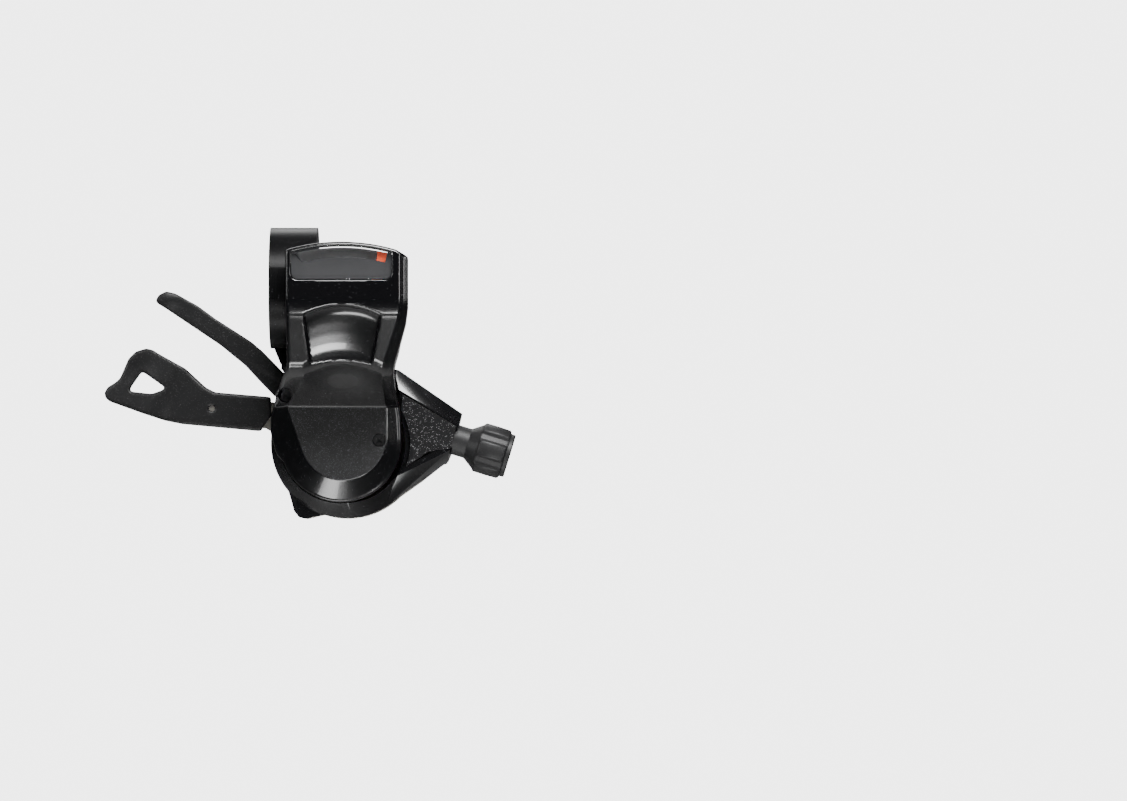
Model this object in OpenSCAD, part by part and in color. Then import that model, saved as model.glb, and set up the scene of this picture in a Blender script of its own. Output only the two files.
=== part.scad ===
// Two-lever bicycle thumb shifter with handlebar clamp, gear display and barrel adjuster.
// Millimetres. The origin is the middle of the handlebar bore. +X runs along the handlebar
// towards the cable outlet, +Z points up past the display, and -Y faces the rider.

/* [Handlebar clamp] */
// Bore of the clamp, for a 22.2 mm handlebar
bar_d = 22.2; // [22.2:0.1:22.6]
// Wall of the clamp ring
band_wall = 4; // [3.5:0.1:4.1]
// Width of the clamp ring along the bar
band_w = 11.8; // [10:0.2:12]

/* [Display] */
// Front of the display pod, ahead of the handlebar centre
pod_front = 24; // [23.5:0.1:24.5]
// Radius of the display's arched top edge
pod_arc_r = 47; // [46:0.5:50]

/* [Body] */
// Place of the main axle along the bar
axle_x = 12.1; // [11.6:0.1:12.6]
// Place of the main axle below the bar
axle_drop = 38.25; // [38:0.05:38.6]
// Radius of the round housing
body_r = 18.9; // [18.5:0.1:19.3]
// Wall of the plastic covers
wall = 1.2; // [1:0.1:1.5]
// Radius of the main axle
axle_r = 3; // [2.8:0.1:3.2]

/* [Levers] */
// Thickness of the thumb lever's steel plate
thumb_plate_t = 1.5; // [1.2:0.1:1.6]
// Thickness of the release lever's steel plate
release_plate_t = 1.2; // [1:0.1:1.3]
// Lean of the thumb pad away from the rider, degrees
pad_lean = 27; // [20:1:32]

/* [Cable winding] */
// Number of ratchet positions around the winder
clicks = 20; // [16:1:24]
// Radius of the drum that the cable lies on
drum_r = 7.8; // [7.2:0.1:8]

/* [Barrel adjuster] */
// Downward slope of the cable outlet, degrees
outlet_tilt = 17; // [15:1:19]
// Largest radius of the knob's lobes
knob_r = 6.5; // [6.2:0.1:6.8]
// Bore of the knob for a cable housing end
ferrule_d = 5; // [4.6:0.1:5.2]

/* [Hidden] */
$fn = 72;

bar_r = bar_d / 2;
band_r = bar_r + band_wall;
ax = axle_x;
az = -axle_drop;
hx = ax + 0.5;            // middle of the round housing
hz = az - 0.55;
arc_z = 11.1 - pod_arc_r; // middle of the display's top arc
gap = 0.12;               // running clearance of small turning parts

// Layers along Y, from the rider's side to the back
face_y = 2;               // flat face of the round cover
skirt_y = 9.5;            // back edge of the cover
rim_y = 6.3;              // front of the housing's sloping rim
facet_y = 5.3;            // front of the facets around the outlet panel
arm_y = 7.05;
arm_t = 0.8;
winder_y = 8;
cable_y = 9.9;
ratchet_y = 12;
ratchet_t = 1;
release_y = 14.8;
thumb_y = 17.4;
plate_y = 21;
plate_t = 1.2;
back_y = 24.2;

// Cable outlet: distances along its axis start from this point
out_x = 41.2;
out_z = -38.3;
screw_r = 2;              // hollow screw in the barrel knob
neck_r = 3.83;            // knob's neck in the outlet
neck_hole_r = 4.05;

// ---------- helpers ----------

// A flat outline in X and Z, thick from y0 to y1
module slab(y0, y1) {
    translate([0, y1, 0]) rotate([90, 0, 0]) linear_extrude(y1 - y0) children();
}

// A side outline in Y and Z, wide from x0 to x1
module rib(x0, x1) {
    translate([x0, 0, 0]) rotate([90, 0, 90]) linear_extrude(x1 - x0) children();
}

// A round rod along Y
module pin_y(x, z, r, y0, y1) {
    translate([x, y1, z]) rotate([90, 0, 0]) cylinder(r = r, h = y1 - y0);
}

// A round rod along X about the handlebar
module pin_x(r, x0, x1) {
    translate([x0, 0, 0]) rotate([0, 90, 0]) cylinder(r = r, h = x1 - x0);
}

// A hexagon along Y, measured across its corners
module hex_y(x, z, r, y0, y1) {
    translate([x, y1, z]) rotate([90, 0, 0]) cylinder(r = r, h = y1 - y0, $fn = 6);
}

// Children built along +Z are laid along the cable outlet
module outlet() {
    translate([out_x, cable_y, out_z]) rotate([0, 90 + outlet_tilt, 0]) children();
}

// Points of an arc in the X-Z plane
function arc(cx, cz, r, a0, a1, n = 16) =
    [for (i = [0:n]) [cx + r * cos(a0 + (a1 - a0) * i / n), cz + r * sin(a0 + (a1 - a0) * i / n)]];

// A cross-recess screw along Y with its head towards -Y
module cross_screw(x, z, head_r, head_y, head_t, shank_r, len) {
    difference() {
        union() {
            pin_y(x, z, head_r, head_y, head_y + head_t);
            pin_y(x, z, shank_r, head_y + head_t, head_y + head_t + len);
        }
        for (a = [45, 135])
            translate([x, head_y + head_t * 0.3 - 0.01, z]) rotate([0, a, 0])
                cube([head_r * 1.3, head_t * 0.6, head_r * 0.34], center = true);
    }
}

// ---------- outlines ----------

// Front outline of the one-piece cover: display pod, neck and round face
cover_right = [[28.8, 7.3], [28.8, -5.35], [28.25, -9.2], [25.3, -19], [24.9, -21.5], [25.2, -25],
    [26.4, -32]];
cover_left = [[-4.9, -41.2], [-6.3, -36], [-6.1, -32], [-4.8, -28], [-2.6, -22.5], [-1.25, -19.5]];
module cover_outline() {
    polygon(concat(
        arc(12.4, arc_z, pod_arc_r, 107.1, 73.6, 12),
        cover_right,
        arc(11.4, -38.35, 15.3, 5, -162, 28),
        cover_left));
}

// Side outline of the cover in Y and Z
module cover_profile() {
    polygon([[-pod_front + 0.6, 12], [-pod_front, 5], [-pod_front, -5.4], [-15, -20], [face_y, -29.5],
        [face_y, -60], [skirt_y, -60], [skirt_y, -24.6], [2, -22.5], [2, -12], [-10, -9],
        [-16.2, -2], [-16.2, 12]]);
}

// Window outline, widened by grow
module window_outline(grow) {
    polygon(concat(
        arc(12.4, arc_z, pod_arc_r - 0.75 + grow, 105.6, 74.2, 12),
        arc(23.2, 3.5, 1.9 + grow, 0, -90, 5),
        arc(1.7, 3.5, 1.9 + grow, 270, 180, 5)));
}

// Outline of the housing's arm towards the cable outlet
module outlet_outline() {
    polygon([[24.4, -20.2], [25.6, -20.4], [41.7, -31.5], [41, -34.4], [39, -41.6], [38.2, -43.6],
        [36.7, -44.1], [31.4, -48.3], [21.4, -55.4], [18, -50], [18, -24]]);
}

// Outline of the small lug at the housing's lower left
module lug_outline() {
    polygon([[-2.6, -48.5], [-1.7, -51.6], [-1.1, -53.6], [-0.5, -55.9], [0.8, -57.5], [2.4, -57.8],
        [5.4, -57.1], [8, -56.5], [8, -50]]);
}

// The whole housing's outline, thick from y0 to y1
module housing_slab(y0, y1) {
    pin_y(hx, hz, body_r, y0, y1);
    slab(y0, y1) outlet_outline();
    slab(y0, y1) lug_outline();
}

// ---------- handlebar clamp ----------

lug_back = 21;
bolt_y = 16.9;
module clamp_band() {
    color([0.05, 0.05, 0.055]) difference() {
        union() {
            pin_x(band_r, -band_w / 2, band_w / 2);
            translate([-band_w / 2, 8, -6.4]) cube([band_w, lug_back - 8, 12.8]);
            slab(3, 11) polygon([[-5.9, -9], [-5.9, -13.5], [-5.2, -15.1], [-3.6, -19], [9, -19], [9, -15],
                [5.9, -13], [5.9, -9]]);
        }
        pin_x(bar_r, -band_w, band_w);
        translate([-band_w, 9, -0.9]) cube([2 * band_w, lug_back, 1.8]);
        translate([0, bolt_y, -10]) cylinder(r = 2.65, h = 20);
        translate([0, bolt_y, 3.4]) cylinder(r = 4.5, h = 5);
        translate([0, bolt_y, -7]) cylinder(r = 4.7, h = 3.7, $fn = 6);
        for (x = [0.5, 5.5]) translate([x, 7, -20]) cylinder(r = 1.45, h = 5.6);
        // Flat relief on the left of the band, above its lower step
        translate([-6, -band_r - 1, -3]) cube([2.4, 1.7, 8.6]);
    }
}

module clamp_bolt() {
    color([0.35, 0.35, 0.37]) difference() {
        union() {
            translate([0, bolt_y, 3.4]) cylinder(r = 4.2, h = 4.6);
            translate([0, bolt_y, -6.6]) cylinder(r = 2.5, h = 10.1);
        }
        translate([0, bolt_y, 5.2]) cylinder(r = 2.4, h = 4, $fn = 6);
    }
}

module clamp_nut() {
    color([0.6, 0.6, 0.62]) difference() {
        translate([0, bolt_y, -6.7]) cylinder(r = 4.6, h = 3.4, $fn = 6);
        translate([0, bolt_y, -7]) cylinder(r = 2.5, h = 4);
    }
}

module bracket_screws() {
    color([0.6, 0.6, 0.62]) for (x = [0.5, 5.5]) difference() {
        union() {
            translate([x, 7, -20.4]) cylinder(r = 1.45, h = 5.8);
            translate([x, 7, -22]) cylinder(r = 2.3, h = 1.6);
        }
        translate([x, 7, -22.2]) cylinder(r = 1.2, h = 1, $fn = 6);
    }
}

// ---------- display pod and top cover ----------

module scoop_profile() {
    // Hollow in the neck below the display, in Y and Z
    polygon([[-25, -4.6], [-22.2, -5.4], [-19.3, -7.9], [-17.1, -11.2], [-15.7, -14.6], [-14.7, -18],
        [-15.4, -21], [-27, -21], [-27, -4.6]]);
}

module top_cover() {
    color([0.04, 0.04, 0.045]) difference() {
        intersection() {
            slab(-pod_front - 1, skirt_y) cover_outline();
            rib(-10, 32) cover_profile();
        }
        // Hollow inside, less the scoop's wall and the screw posts
        difference() {
            cover_hollow();
            scoop(wall);
            for (c = screw_spots) pin_y(c[0], c[1], 2.6, -10, c[4]);
        }
        // Clearance around the handlebar clamp
        pin_x(band_r + 0.5, -12, 34);
        scoop(0);
        slab(-pod_front - 2, -pod_front + 1.4) window_outline(0);
        slab(-pod_front - 2, -pod_front + 4) window_outline(-0.9);
        for (c = screw_spots) {
            pin_y(c[0], c[1], c[2], c[3] - 8, c[3] + 1.7);
            pin_y(c[0], c[1], 0.9, c[3], 20);
        }
    }
}

module cover_hollow() {
    intersection() {
        slab(-pod_front + wall, skirt_y + 1) offset(delta = -wall) cover_outline();
        rib(-10, 32) polygon([[-pod_front + 2.2, 14], [-pod_front + wall, 8], [-pod_front + wall, -5.1],
            [-14.1, -19.1], [face_y + wall, -28.8], [face_y + wall, -60], [12, -60], [12, -20],
            [1, -18], [-10, -6], [-12, 14]]);
    }
}

// Cover screws: place, counterbore radius, place of the head and end of the post
screw_spots = [[-2.3, -26.8, 1.75, 0, skirt_y], [21.1, -38.05, 1.65, face_y + 0.3, 6]];

// Hollow in the front of the neck, grown to leave a wall behind it
module scoop(grow) {
    intersection() {
        rib(-2, 30) offset(delta = grow) scoop_profile();
        slab(-40, 0) offset(delta = grow) polygon([[2.9, -3.4], [2.9, -7.7], [4.35, -18], [4.6, -21.5],
            [19.9, -21.5], [20, -18.3], [21.9, -8], [22.4, -3.4]]);
    }
}

module pod_back_cover() {
    color([0.07, 0.07, 0.075]) difference() {
        union() {
            slab(-17.3, -16.2) intersection() {
                translate([0.1, -2]) square([27.3, 14]);
                translate([12.4, arc_z]) circle(r = pod_arc_r - wall - gap, $fn = 180);
            }
            intersection() {
                difference() {
                    pin_x(band_r + 1.5, 0.1, 26);
                    pin_x(band_r + 0.5, -1, 34);
                }
                slab(-17.3, -1.5) polygon([[0.1, -1], [27.3, -1], [27.2, -8], [24, -18], [0.1, -18]]);
            }
        }
        slab(-18, 3) polygon([[27.3, 2], [27.3, -5], [24, -18], [40, -18], [40, 2]]);
    }
}

module display_lens() {
    color([0.35, 0.36, 0.38, 0.5]) slab(-pod_front - 0.15, -pod_front + 1.4) window_outline(-0.08);
}

module display_face() {
    color([0.25, 0.25, 0.26]) slab(-20.4, -19.6) intersection() {
        window_outline(-0.65);
        polygon([[0.2, 0], [24.9, 0], [24.9, 12], [0.2, 12]]);
    }
}

// The arm leans with the neck, from its hub on the axle to the flag behind the window
flag_turn = 12.9;
module indicator_arm() {
    color([0.9, 0.36, 0.2]) difference() {
        union() {
            translate([ax, 0, az]) rotate([0, flag_turn, 0]) {
                intersection() {
                    slab(-30, 10) polygon([[-2.4, 2], [2.4, 2], [1.6, 20], [1.3, 42.6], [1.3, 47.2], [-1.3, 47.2],
                        [-1.3, 45], [-1.5, 20]]);
                    rib(-6, 6) polygon([[arm_y, 0], [arm_y, 10.3], [-11.4, 23.2], [-19.7, 34.5], [-21.8, 40],
                        [-21.8, 48], [-21, 48], [-21, 40.2], [-19, 35], [-11, 23.9], [arm_y + arm_t, 10.7],
                        [arm_y + arm_t, 0]]);
                }
            }
            pin_y(ax, az, 5.6, arm_y - 0.06, arm_y + arm_t + 0.06);
        }
        pin_y(ax, az, axle_r + gap, arm_y - 1, arm_y + 2);
    }
}

module cover_screws() {
    color([0.2, 0.2, 0.2]) for (c = screw_spots)
        cross_screw(c[0], c[1], c[2] - 0.15, c[3] + 0.4, 1.3, 0.9, c[4] - c[3] + 0.2);
}

// ---------- housing ----------

cavity_r = 16.8;
module base_housing() {
    color([0.05, 0.05, 0.055]) difference() {
        union() {
            housing_slab(skirt_y + 0.1, plate_y);
            // Sloping front rim around the cover
            hull() {
                pin_y(11.4, -38.35, 15.55, rim_y, rim_y + 0.1);
                pin_y(hx, hz, body_r, skirt_y, skirt_y + 0.1);
            }
            // Cable outlet block, with a facet above the panel and one below it
            slab(6.6, skirt_y + 0.2) polygon([[26.5, -25.9], [40.9, -34.5], [39, -41.4], [35.7, -41.4],
                [33.3, -42], [24.5, -48], [24, -30]]);
            hull() {
                slab(facet_y, facet_y + 0.1) polygon([[26, -25.4], [41, -34.3], [40.6, -35.4], [26.5, -27.5]]);
                slab(skirt_y, skirt_y + 0.1) polygon([[24.4, -20.2], [25.6, -20.4], [41.7, -31.5], [41, -34.4],
                    [26, -28]]);
            }
            hull() {
                slab(facet_y, facet_y + 0.1) polygon([[38.9, -39.8], [35.7, -40.3], [27, -45], [25.6, -47],
                    [38.7, -40.6]]);
                slab(skirt_y, skirt_y + 0.1) polygon([[39, -41.6], [38.2, -43.6], [36.7, -44.1], [31.4, -48.3],
                    [22.5, -54.6], [24, -48]]);
            }
            // Roof that the clamp bracket stands on
            translate([-3.4, 2.2, -20.4]) cube([28.2, 8.8, 1.4]);
            slab(9.6, 12.6)
                polygon([[-3.4, -20.4], [-2.4, -22.5], [-4.6, -28], [4, -30], [24, -24], [24.8, -20.4]]);
        }
        // Mechanism space
        pin_y(hx, hz, cavity_r, skirt_y - 0.4, plate_y + 1);
        // Room for the cover's skirt
        slab(0, skirt_y + 0.1) offset(delta = 0.15) cover_outline_low();
        pin_y(hx, hz, 15, 0, skirt_y + 1);
        // Recess of the outlet panel
        slab(0, 6.6) offset(delta = 0.1) outlet_panel_outline();
        // Lever slot
        slab(13.6, plate_y + 1) polygon([[ax, az], [ax + 40 * cos(178.5), az + 40 * sin(178.5)],
            [ax + 40 * cos(145), az + 40 * sin(145)], [ax + 40 * cos(100), az + 40 * sin(100)]]);
        // Cable outlet bores
        outlet() {
            translate([0, 0, -26]) cylinder(r = screw_r + gap, h = 30);
            translate([0, 0, -10]) cylinder(r = neck_hole_r, h = 14);
        }
        plug_hole() translate([0, 0, -3]) cylinder(r = 2.2, h = 8);
        for (x = [0.5, 5.5]) translate([x, 7, -21]) cylinder(r = 1.45, h = 3);
        for (c = screw_spots) pin_y(c[0], c[1], 0.9, 0, 13);
        for (p = base_screw_spots) pin_y(p[0], p[1], 1, plate_y - 6, plate_y + 1);
    }
}

// Cover outline below the neck, where it stands in the housing
module cover_outline_low() {
    intersection() {
        cover_outline();
        polygon([[-20, -20.5], [40, -20.5], [40, -70], [-20, -70]]);
    }
}

base_screw_spots = [[30.5, -45], [0.9, -54.6], [33, -30.6]];

module outlet_panel_outline() {
    polygon([[26.9, -26.6], [40.4, -34.6], [38.8, -40.2], [35.7, -40.5], [33.2, -41], [27.6, -44.8],
        [26, -36]]);
}

module outlet_cover() {
    color([0.06, 0.06, 0.065]) difference() {
        slab(5.4, 6.6) outlet_panel_outline();
        pin_y(hx, hz, 16.2, 5, 7);
        outlet() translate([0, 0, -11]) cylinder(r = neck_hole_r, h = 15);
    }
}

module base_plate() {
    color([0.75, 0.74, 0.7]) difference() {
        translate([0.15, 0, -0.35]) housing_slab(plate_y, plate_y + plate_t);
        slab(plate_y - 1, back_y)
            polygon([[46, -20], [37.7, -20], [41.1, -32.5], [37.9, -43.6], [37.9, -50], [46, -50]]);
        pin_y(ax, az, axle_r - 0.6, plate_y - 1, back_y);
        for (p = base_screw_spots) pin_y(p[0], p[1], 1.1, plate_y - 1, back_y);
    }
}

module bottom_cover() {
    color([0.06, 0.06, 0.065]) difference() {
        union() {
            pin_y(hx, hz, 14.6, plate_y + plate_t, back_y - 0.6);
            pin_y(hx, hz, 13.4, plate_y + plate_t, back_y);
            slab(plate_y + plate_t, back_y - 1)
                polygon([[14, -52.6], [31, -47.6], [33.6, -43.6], [31, -27.6], [24, -27]]);
        }
        pin_y(hx, hz, 12.2, plate_y + plate_t - 1, back_y - 1);
        for (p = bottom_screw_spots) pin_y(p[0], p[1], 1, plate_y, back_y + 1);
    }
}

bottom_screw_spots = [[31, -42], [29.4, -31.6]];

module bottom_screws() {
    color([0.3, 0.3, 0.32]) {
        for (p = bottom_screw_spots) {
            pin_y(p[0], p[1], 2, back_y - 1, back_y + 0.2);
            pin_y(p[0], p[1], 1, plate_y + plate_t, back_y - 1);
        }
        for (p = [base_screw_spots[1]]) {
            pin_y(p[0], p[1], 1.9, plate_y + plate_t, plate_y + plate_t + 1.2);
            pin_y(p[0], p[1], 1, plate_y - 5.5, plate_y + plate_t);
        }
    }
}

// Screw plug of the hole that the inner cable is threaded through
module plug_hole() {
    translate([hx, 12.2, hz]) rotate([0, -90 - 28, 0]) translate([0, 0, cavity_r]) children();
}
module cable_hole_plug() {
    color([0.1, 0.1, 0.1]) difference() {
        plug_hole() cylinder(r = 2.2, h = body_r - cavity_r);
        plug_hole() translate([-0.4, -3, body_r - cavity_r - 0.9]) cube([0.8, 6, 2]);
    }
}

// ---------- axle stack ----------

module main_axle() {
    color([0.7, 0.7, 0.72]) union() {
        pin_y(ax, az, axle_r, 3.6, plate_y);
        pin_y(ax, az, axle_r - 0.6, plate_y, plate_y + plate_t + 0.9);
    }
}

module axle_nut() {
    color([0.65, 0.65, 0.67]) difference() {
        hex_y(ax, az, 5.2, 3.7, 6.1);
        pin_y(ax, az, axle_r, 3, 7);
    }
}

module cover_bridge() {
    color([0.75, 0.75, 0.76]) difference() {
        union() {
            pin_y(ax, az, 5.4, 6.1, 6.9);
            pin_y(21.1, -38.05, 2.6, 6.1, 6.9);
            slab(6.1, 6.9) polygon([[ax, az + 4], [21.1, -35.6], [21.1, -40.5], [ax, az - 4]]);
        }
        pin_y(ax, az, axle_r, 6, 7);
        pin_y(21.1, -38.05, 0.9, 6, 7);
    }
}

spacers = [[ratchet_y + ratchet_t + 0.15, release_y - 0.15], [release_y + release_plate_t + 0.15, thumb_y - 0.15],
    [thumb_y + thumb_plate_t + 0.15, plate_y]];
module lever_spacers() {
    color([0.72, 0.7, 0.62]) for (s = spacers) difference() {
        pin_y(ax, az, 4.2, s[0], s[1]);
        pin_y(ax, az, axle_r, s[0] - 1, s[1] + 1);
    }
}

module cable_winder() {
    color([0.85, 0.85, 0.82]) translate([ax, 0, az]) rotate([90, 0, 0]) rotate_extrude()
        polygon([[axle_r + gap, -ratchet_y], [axle_r + gap, -winder_y], [4.2, -winder_y], [4.2, -10.9],
            [6.6, -10.9], [6.6, -winder_y], [10.4, -winder_y], [10.4, -8.9], [drum_r, -9.3], [drum_r, -10.5],
            [10.4, -10.9], [10.4, -ratchet_y]]);
}

function tooth_points(r0, r1) = [for (i = [0:clicks - 1], k = [0, 1])
    let (a = -(i + (k == 0 ? 0 : 0.82)) * 360 / clicks) (k == 0 ? r1 : r0) * [cos(a), sin(a)]];
module ratchet_plate() {
    color([0.7, 0.7, 0.72]) difference() {
        slab(ratchet_y, ratchet_y + ratchet_t) translate([ax, az]) polygon(tooth_points(9.7, 11));
        pin_y(ax, az, axle_r + gap, ratchet_y - 1, ratchet_y + 3);
    }
}

module winder_spring() {
    color([0.55, 0.55, 0.56]) difference() {
        pin_y(ax, az, 6.4, 8.4, 10.9);
        pin_y(ax, az, 4.4, 8, 12);
        for (r = [4.9, 5.4, 5.9]) difference() {
            pin_y(ax, az, r + 0.1, 8, 10.2);
            pin_y(ax, az, r - 0.1, 7, 11);
        }
    }
}

// ---------- pawls ----------

stop_x = ax + 13.6 * cos(38);
stop_z = az + 13.6 * sin(38);
module stop_pawl() {
    color([0.68, 0.68, 0.7]) difference() {
        union() {
            pin_y(stop_x, stop_z, 2.1, ratchet_y, ratchet_y + ratchet_t);
            slab(ratchet_y, ratchet_y + ratchet_t) polygon([[stop_x - 2, stop_z + 0.4],
                [stop_x - 0.6, stop_z + 2], [stop_x - 8, stop_z + 4.8], [stop_x - 8.4, stop_z + 3.1]]);
        }
        pin_y(stop_x, stop_z, 1.06, ratchet_y - 1, ratchet_y + 2);
    }
}

module stop_pawl_pin() {
    color([0.75, 0.75, 0.76]) pin_y(stop_x, stop_z, 1, 11.3, plate_y);
}

module stop_pawl_spring() {
    color([0.5, 0.5, 0.52]) for (y = [13.5, 14.05, 14.6]) translate([stop_x, y, stop_z]) rotate([90, 0, 0])
        rotate_extrude() translate([1.3, 0]) circle(r = 0.25, $fn = 16);
}

feed_x = ax + 12.9 * cos(-120);
feed_z = az + 12.9 * sin(-120);
module feed_pawl() {
    color([0.68, 0.68, 0.7]) difference() {
        union() {
            pin_y(feed_x, feed_z, 1.7, ratchet_y, ratchet_y + ratchet_t);
            slab(ratchet_y, ratchet_y + ratchet_t) polygon([[feed_x - 1.6, feed_z - 0.5],
                [feed_x + 0.3, feed_z + 1.65], [feed_x - 4.2, feed_z + 6], [feed_x - 5.2, feed_z + 4.8]]);
        }
        pin_y(feed_x, feed_z, 1.06, ratchet_y - 1, ratchet_y + 2);
    }
}

module feed_pawl_pin() {
    color([0.75, 0.75, 0.76]) pin_y(feed_x, feed_z, 1, 11.6, thumb_y);
}

module feed_pawl_spring() {
    color([0.5, 0.5, 0.52]) for (y = [13.8, 14.4, 15]) translate([feed_x, y, feed_z]) rotate([90, 0, 0])
        rotate_extrude() translate([1.25, 0]) circle(r = 0.25, $fn = 16);
}

// ---------- levers ----------

module thumb_arm_outline() {
    polygon([[-29, -23], [-24.6, -26], [-21, -27.4], [-6.3, -28.5], [2, -30.5], [12, -31.3],
        [12, -45.2], [4, -42], [-7.9, -35.2], [-29, -33.2]]);
}

module thumb_lever_plate() {
    color([0.82, 0.8, 0.74]) difference() {
        union() {
            slab(thumb_y, thumb_y + thumb_plate_t) thumb_arm_outline();
            pin_y(ax, az, 7.1, thumb_y, thumb_y + thumb_plate_t);
            slab(thumb_y, thumb_y + thumb_plate_t)
                translate([ax, az]) rotate(-120) translate([0, -2.4]) square([12.9, 4.8]);
            pin_y(feed_x, feed_z, 2.4, thumb_y, thumb_y + thumb_plate_t);
        }
        pin_y(ax, az, axle_r + 0.06, thumb_y - 1, thumb_y + 3);
    }
}

// Outline of the thumb lever's cap
module thumb_cap_outline() {
    difference() {
        polygon([[-49, -26.1], [-48.2, -24.7], [-46.3, -23.6], [-45, -22.5], [-44.1, -20.4], [-42.9, -17.6],
            [-41, -15.7], [-38.3, -14.9], [-36.6, -15.3], [-35.2, -16.2], [-28.3, -20], [-25.7, -22.4],
            [-23.1, -24.8], [-20.8, -26], [-6.6, -27.2], [-6.25, -31.8], [-9.2, -35.9], [-29, -34.1],
            [-33.5, -33.2], [-39.1, -31.4], [-47.6, -28.4], [-48.8, -27.4]]);
        polygon([[-39.6, -21], [-38.8, -21.1], [-33.6, -24.7], [-33.7, -25.3], [-36.8, -26.4],
            [-42.4, -25.8], [-42.6, -25.3]]);
    }
}

cap_front = thumb_y - 0.7;
cap_back = thumb_y + thumb_plate_t + 0.7;
fold_x = -30;
fold_z = -22;
module thumb_lever_cap() {
    lean = 42 * tan(pad_lean) / 2;
    color([0.06, 0.06, 0.065]) difference() {
        intersection() {
            slab(cap_front - 1, 40) thumb_cap_outline();
            // Side outline across the fold, drawn along the lever
            translate([fold_x, 0, fold_z]) rotate([0, 12, 0]) mirror([0, 1, 0]) rotate([180, 0, 0])
                linear_extrude(60, center = true) polygon([[40, cap_front], [0, cap_front], [-21, cap_front + lean / 2],
                    [-21, cap_back + lean / 2 + 1.2], [-2, cap_back], [40, cap_back]]);
        }
        thumb_lever_plate();
        pin_y(-21.5, -30.1, 0.75, cap_front - 2, thumb_y + 0.01);
    }
}

module thumb_lever_spring() {
    color([0.5, 0.5, 0.52]) for (y = [19.5, 20.3]) translate([ax, y, az]) rotate([90, 0, 0])
        rotate_extrude() translate([5.4, 0]) circle(r = 0.35, $fn = 16);
}

release_top = [[-35.6, -2.9], [-34.8, -1.5], [-32.9, -0.55], [-30.6, -1.1], [-25, -4.2], [-20.5, -7.5], [-11.6, -13.2],
    [-8.7, -15.65], [-2.5, -22]];
release_bottom = [[-5.4, -27.25], [-9.35, -23.2], [-13, -19.25], [-19.2, -14.2], [-25.7, -9.8], [-32.9, -5],
    [-35.2, -3.6]];
module release_lever_plate() {
    color([0.82, 0.8, 0.74]) difference() {
        union() {
            pin_y(ax, az, 6.4, release_y, release_y + release_plate_t);
            slab(release_y, release_y + release_plate_t) polygon([[-28, -4.6], [-20.6, -9.2], [-11.9, -14.9],
                [-8.8, -17.5], [-3, -23], [7, -31.4], [ax + 4, az + 4], [ax - 2, az - 4], [2, -36.5],
                [-4.6, -26.6], [-8.6, -22.4], [-12.6, -17.9], [-19, -12.8], [-27.4, -7]]);
        }
        pin_y(ax, az, axle_r + 0.06, release_y - 1, release_y + 3);
    }
}

module release_lever_cap() {
    color([0.06, 0.06, 0.065]) difference() {
        slab(release_y - 0.9, release_y + release_plate_t + 0.45) polygon(concat(release_top, release_bottom));
        release_lever_plate();
    }
}

module release_lever_spring() {
    color([0.5, 0.5, 0.52]) for (y = [13.6, 14.25]) translate([ax, y, az]) rotate([90, 0, 0])
        rotate_extrude() translate([5, 0]) circle(r = 0.3, $fn = 16);
}

// ---------- barrel adjuster ----------

lobes = 6;
module barrel_knob() {
    color([0.07, 0.07, 0.07]) difference() {
        outlet() union() {
            translate([0, 0, -4]) cylinder(r = neck_r, h = 6.2);
            translate([0, 0, 2.2]) cylinder(r1 = neck_r, r2 = 6, h = 2.7);
            translate([0, 0, 4.9]) cylinder(r = 5.7, h = 7);
            intersection() {
                translate([0, 0, 4.9]) cylinder(r = knob_r, h = 7);
                for (i = [0:lobes - 1]) rotate([0, 0, i * 360 / lobes]) translate([3, -2.1, 4.9]) cube([6, 4.2, 7]);
            }
            translate([0, 0, 11.9]) cylinder(r = 5.5, h = 1.2);
        }
        outlet() {
            translate([0, 0, -5]) cylinder(r = screw_r, h = 12);
            translate([0, 0, 6.5]) cylinder(d = ferrule_d, h = 8);
        }
    }
}

module barrel_screw() {
    color([0.7, 0.7, 0.72]) difference() {
        outlet() translate([0, 0, -14]) cylinder(r = screw_r, h = 20.5);
        outlet() translate([0, 0, -15]) cylinder(r = 0.9, h = 30);
    }
}

module detent_ring() {
    color([0.7, 0.7, 0.66]) difference() {
        outlet() translate([0, 0, -5.4]) cylinder(r = 3.95, h = 1.3);
        outlet() translate([0, 0, -6]) cylinder(r = screw_r + gap, h = 3);
    }
}

module barrel_spring() {
    color([0.5, 0.5, 0.52]) outlet() for (s = [-9.6, -8.4, -7.2, -6]) translate([0, 0, s])
        rotate_extrude() translate([3.1, 0]) circle(r = 0.4, $fn = 16);
}

clamp_band();
clamp_bolt();
clamp_nut();
bracket_screws();
top_cover();
pod_back_cover();
display_lens();
display_face();
indicator_arm();
cover_screws();
base_housing();
outlet_cover();
base_plate();
bottom_cover();
bottom_screws();
cable_hole_plug();
main_axle();
axle_nut();
cover_bridge();
lever_spacers();
cable_winder();
ratchet_plate();
winder_spring();
stop_pawl();
stop_pawl_pin();
stop_pawl_spring();
feed_pawl();
feed_pawl_pin();
feed_pawl_spring();
thumb_lever_plate();
thumb_lever_cap();
thumb_lever_spring();
release_lever_plate();
release_lever_cap();
release_lever_spring();
barrel_knob();
barrel_screw();
detent_ring();
barrel_spring();
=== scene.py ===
"""Two-lever bicycle thumb shifter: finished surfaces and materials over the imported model."""

import math

import bmesh
import bpy
from mathutils import Matrix, Vector


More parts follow.
